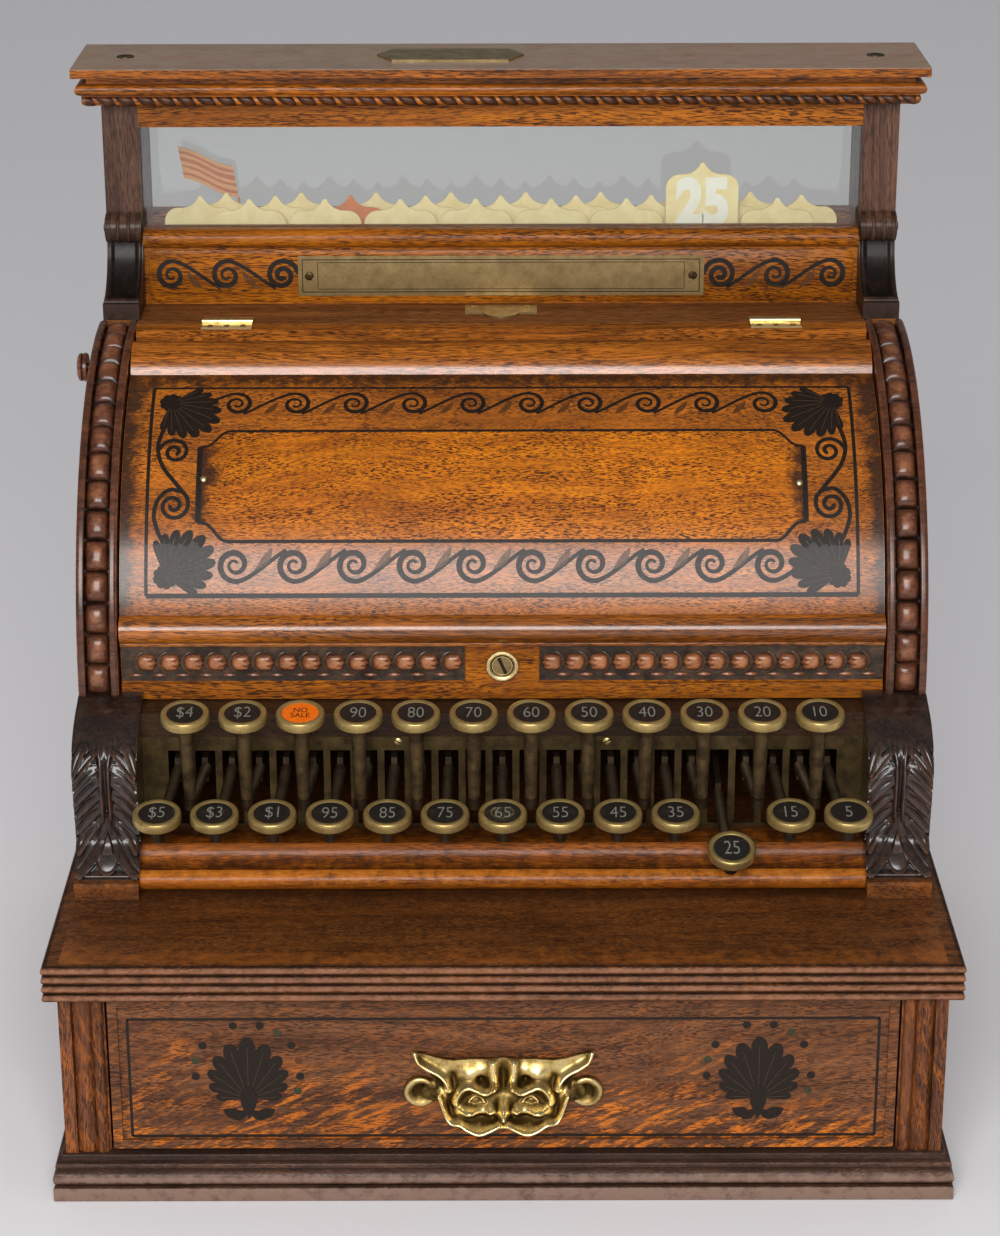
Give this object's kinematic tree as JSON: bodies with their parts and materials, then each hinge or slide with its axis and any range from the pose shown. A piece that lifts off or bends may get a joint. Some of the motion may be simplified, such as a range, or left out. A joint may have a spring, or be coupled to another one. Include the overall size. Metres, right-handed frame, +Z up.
{
  "type": "antique cash register",
  "caption": "Antique oak cash register with an inlaid hinged roll lid, press-down keys, glazed pop-up price indicator and a cash drawer with a brass mask pull.",
  "frame": {"origin": "middle of the plinth's underside, on the counter top", "axes": "+X to the operator's right, +Y from the drawer front towards the back, +Z up"},
  "size_m": [0.489, 0.4091, 0.5452],
  "materials": {
    "oak": "satin varnished oak",
    "dark_oak": "satin reddish stained oak",
    "carved_walnut": "polished dark carved wood",
    "pine": "unvarnished softwood",
    "brass": "aged polished brass",
    "steel": "dark browned steel",
    "ivory": "cream lacquer",
    "glass": "clear",
    "enamel": "striped enamel"
  },
  "bodies": {
    "cabinet": {"plinth": "dark_oak", "case_walls": "dark_oak", "corner_pilasters": "dark_oak", "base_board": "dark_oak", "keybed_moulding": "oak", "corbels": "carved_walnut", "cheeks": "dark_oak", "arch_mouldings": "carved_walnut", "key_rail": "oak", "rear_top_board": "dark_oak", "back_panel": "dark_oak", "frieze_boards": "oak", "window_rails": "oak", "indicator_posts": "carved_walnut", "cornice": "dark_oak", "window_panes": "glass", "brass_plates": "brass", "key_comb": "brass", "key_pivot_rod": "steel", "rod_guide": "dark_oak", "tablets": "ivory", "signal_flag": "enamel", "bell": "brass", "hinge_fixed_leaves": "brass"},
    "lid": {"lid_panel": "oak", "lid_nosings": "dark_oak", "lid_rail": "oak", "lid_hardware": "brass"},
    "lock_plug": {"lock_plug": "brass"},
    "drawer": {"drawer_front": "dark_oak", "drawer_box": "pine", "drawer_pull": "brass"},
    "side_knob": {"side_knob": "dark_oak"},
    "counter": {"counter_wheels": "steel"},
    "tablet_25": {"tablet_25": "ivory"},
    "key_dollar_5": {"key_dollar_5": "steel"},
    "key_dollar_4": {"key_dollar_4": "steel"},
    "key_dollar_3": {"key_dollar_3": "steel"},
    "key_dollar_2": {"key_dollar_2": "steel"},
    "key_dollar_1": {"key_dollar_1": "steel"},
    "key_no_sale": {"key_no_sale": "steel"},
    "key_95": {"key_95": "steel"},
    "key_90": {"key_90": "steel"},
    "key_85": {"key_85": "steel"},
    "key_80": {"key_80": "steel"},
    "key_75": {"key_75": "steel"},
    "key_70": {"key_70": "steel"},
    "key_65": {"key_65": "steel"},
    "key_60": {"key_60": "steel"},
    "key_55": {"key_55": "steel"},
    "key_50": {"key_50": "steel"},
    "key_45": {"key_45": "steel"},
    "key_40": {"key_40": "steel"},
    "key_35": {"key_35": "steel"},
    "key_30": {"key_30": "steel"},
    "key_25": {"key_25": "steel"},
    "key_20": {"key_20": "steel"},
    "key_15": {"key_15": "steel"},
    "key_10": {"key_10": "steel"},
    "key_5": {"key_5": "steel"}
  },
  "joints": [
    {"name": "lid_hinge", "type": "hinge", "parent": "cabinet", "child": "lid", "pos_m": [0, 0.0934, 0.4038], "axis": [-1, 0, 0], "range_deg": [0, 95]},
    {"name": "lock_turn", "type": "hinge", "parent": "lid", "child": "lock_plug", "pos_m": [0, -0.057, 0.251], "axis": [0, 1, 0], "range_deg": [0, 90]},
    {"name": "drawer_slide", "type": "slide", "parent": "cabinet", "child": "drawer", "axis": [0, -1, 0], "range_m": [0, 0.25]},
    {"name": "side_knob_turn", "type": "hinge", "parent": "cabinet", "child": "side_knob", "pos_m": [-0.236, 0.085, 0.379], "axis": [1, 0, 0], "continuous": true},
    {"name": "counter_turn", "type": "hinge", "parent": "cabinet", "child": "counter", "pos_m": [0, 0.015, 0.29], "axis": [1, 0, 0], "continuous": true},
    {"name": "key_dollar_5_press", "type": "hinge", "parent": "cabinet", "child": "key_dollar_5", "pos_m": [0, 0.025, 0.2], "axis": [1, 0, 0], "range_deg": [0, 9], "stiffness_Nm_per_rad": 0.3, "springref_deg": -20.05},
    {"name": "key_dollar_4_press", "type": "hinge", "parent": "cabinet", "child": "key_dollar_4", "pos_m": [0, 0.025, 0.2], "axis": [1, 0, 0], "range_deg": [0, 9], "stiffness_Nm_per_rad": 0.3, "springref_deg": -20.05},
    {"name": "key_dollar_3_press", "type": "hinge", "parent": "cabinet", "child": "key_dollar_3", "pos_m": [0, 0.025, 0.2], "axis": [1, 0, 0], "range_deg": [0, 9], "stiffness_Nm_per_rad": 0.3, "springref_deg": -20.05},
    {"name": "key_dollar_2_press", "type": "hinge", "parent": "cabinet", "child": "key_dollar_2", "pos_m": [0, 0.025, 0.2], "axis": [1, 0, 0], "range_deg": [0, 9], "stiffness_Nm_per_rad": 0.3, "springref_deg": -20.05},
    {"name": "key_dollar_1_press", "type": "hinge", "parent": "cabinet", "child": "key_dollar_1", "pos_m": [0, 0.025, 0.2], "axis": [1, 0, 0], "range_deg": [0, 9], "stiffness_Nm_per_rad": 0.3, "springref_deg": -20.05},
    {"name": "key_no_sale_press", "type": "hinge", "parent": "cabinet", "child": "key_no_sale", "pos_m": [0, 0.025, 0.2], "axis": [1, 0, 0], "range_deg": [0, 9], "stiffness_Nm_per_rad": 0.3, "springref_deg": -20.05},
    {"name": "key_95_press", "type": "hinge", "parent": "cabinet", "child": "key_95", "pos_m": [0, 0.025, 0.2], "axis": [1, 0, 0], "range_deg": [0, 9], "stiffness_Nm_per_rad": 0.3, "springref_deg": -20.05},
    {"name": "key_90_press", "type": "hinge", "parent": "cabinet", "child": "key_90", "pos_m": [0, 0.025, 0.2], "axis": [1, 0, 0], "range_deg": [0, 9], "stiffness_Nm_per_rad": 0.3, "springref_deg": -20.05},
    {"name": "key_85_press", "type": "hinge", "parent": "cabinet", "child": "key_85", "pos_m": [0, 0.025, 0.2], "axis": [1, 0, 0], "range_deg": [0, 9], "stiffness_Nm_per_rad": 0.3, "springref_deg": -20.05},
    {"name": "key_80_press", "type": "hinge", "parent": "cabinet", "child": "key_80", "pos_m": [0, 0.025, 0.2], "axis": [1, 0, 0], "range_deg": [0, 9], "stiffness_Nm_per_rad": 0.3, "springref_deg": -20.05},
    {"name": "key_75_press", "type": "hinge", "parent": "cabinet", "child": "key_75", "pos_m": [0, 0.025, 0.2], "axis": [1, 0, 0], "range_deg": [0, 9], "stiffness_Nm_per_rad": 0.3, "springref_deg": -20.05},
    {"name": "key_70_press", "type": "hinge", "parent": "cabinet", "child": "key_70", "pos_m": [0, 0.025, 0.2], "axis": [1, 0, 0], "range_deg": [0, 9], "stiffness_Nm_per_rad": 0.3, "springref_deg": -20.05},
    {"name": "key_65_press", "type": "hinge", "parent": "cabinet", "child": "key_65", "pos_m": [0, 0.025, 0.2], "axis": [1, 0, 0], "range_deg": [0, 9], "stiffness_Nm_per_rad": 0.3, "springref_deg": -20.05},
    {"name": "key_60_press", "type": "hinge", "parent": "cabinet", "child": "key_60", "pos_m": [0, 0.025, 0.2], "axis": [1, 0, 0], "range_deg": [0, 9], "stiffness_Nm_per_rad": 0.3, "springref_deg": -20.05},
    {"name": "key_55_press", "type": "hinge", "parent": "cabinet", "child": "key_55", "pos_m": [0, 0.025, 0.2], "axis": [1, 0, 0], "range_deg": [0, 9], "stiffness_Nm_per_rad": 0.3, "springref_deg": -20.05},
    {"name": "key_50_press", "type": "hinge", "parent": "cabinet", "child": "key_50", "pos_m": [0, 0.025, 0.2], "axis": [1, 0, 0], "range_deg": [0, 9], "stiffness_Nm_per_rad": 0.3, "springref_deg": -20.05},
    {"name": "key_45_press", "type": "hinge", "parent": "cabinet", "child": "key_45", "pos_m": [0, 0.025, 0.2], "axis": [1, 0, 0], "range_deg": [0, 9], "stiffness_Nm_per_rad": 0.3, "springref_deg": -20.05},
    {"name": "key_40_press", "type": "hinge", "parent": "cabinet", "child": "key_40", "pos_m": [0, 0.025, 0.2], "axis": [1, 0, 0], "range_deg": [0, 9], "stiffness_Nm_per_rad": 0.3, "springref_deg": -20.05},
    {"name": "key_35_press", "type": "hinge", "parent": "cabinet", "child": "key_35", "pos_m": [0, 0.025, 0.2], "axis": [1, 0, 0], "range_deg": [0, 9], "stiffness_Nm_per_rad": 0.3, "springref_deg": -20.05},
    {"name": "key_30_press", "type": "hinge", "parent": "cabinet", "child": "key_30", "pos_m": [0, 0.025, 0.2], "axis": [1, 0, 0], "range_deg": [0, 9], "stiffness_Nm_per_rad": 0.3, "springref_deg": -20.05},
    {"name": "key_25_press", "type": "hinge", "parent": "cabinet", "child": "key_25", "pos_m": [0, 0.025, 0.2], "axis": [1, 0, 0], "range_deg": [-9, 0]},
    {"name": "key_20_press", "type": "hinge", "parent": "cabinet", "child": "key_20", "pos_m": [0, 0.025, 0.2], "axis": [1, 0, 0], "range_deg": [0, 9], "stiffness_Nm_per_rad": 0.3, "springref_deg": -20.05},
    {"name": "key_15_press", "type": "hinge", "parent": "cabinet", "child": "key_15", "pos_m": [0, 0.025, 0.2], "axis": [1, 0, 0], "range_deg": [0, 9], "stiffness_Nm_per_rad": 0.3, "springref_deg": -20.05},
    {"name": "key_10_press", "type": "hinge", "parent": "cabinet", "child": "key_10", "pos_m": [0, 0.025, 0.2], "axis": [1, 0, 0], "range_deg": [0, 9], "stiffness_Nm_per_rad": 0.3, "springref_deg": -20.05},
    {"name": "key_5_press", "type": "hinge", "parent": "cabinet", "child": "key_5", "pos_m": [0, 0.025, 0.2], "axis": [1, 0, 0], "range_deg": [0, 9], "stiffness_Nm_per_rad": 0.3, "springref_deg": -20.05},
    {"name": "tablet_25_lift", "type": "slide", "parent": "cabinet", "child": "tablet_25", "axis": [0, 0, 1], "range_m": [-0.0213, 0]}
  ],
  "couplings": [
    {"joint": "tablet_25_lift", "follows": "key_25_press", "m_per_rad": 0.135}
  ]
}
